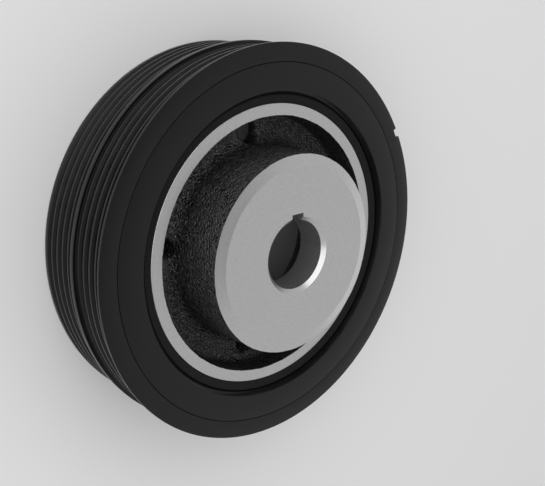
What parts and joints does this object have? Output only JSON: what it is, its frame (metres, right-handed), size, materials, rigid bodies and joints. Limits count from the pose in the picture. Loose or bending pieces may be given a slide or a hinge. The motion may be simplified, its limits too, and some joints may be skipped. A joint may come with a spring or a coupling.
{
  "type": "harmonic balancer",
  "caption": "Crankshaft harmonic balancer: a keyed cast hub inside a bonded rubber ring and a heavy inertia ring with ribbed belt tracks.",
  "frame": {"origin": "on the axis, in the plane of the inertia ring's rear end, on which the part lies", "axes": "+Z along the axis towards the front, from the engine outwards; +Y from the axis towards the keyway"},
  "size_m": [0.141, 0.141, 0.0485],
  "materials": {
    "hub_iron": "turned bright on the rim, boss face, bore and seat; rough cast and black elsewhere",
    "damper_rubber": "matt",
    "ring_iron": "turned, with a black satin coating"
  },
  "bodies": {
    "root": {"hub": "hub_iron", "rubber_ring": "damper_rubber", "inertia_ring": "ring_iron"}
  },
  "joints": []
}
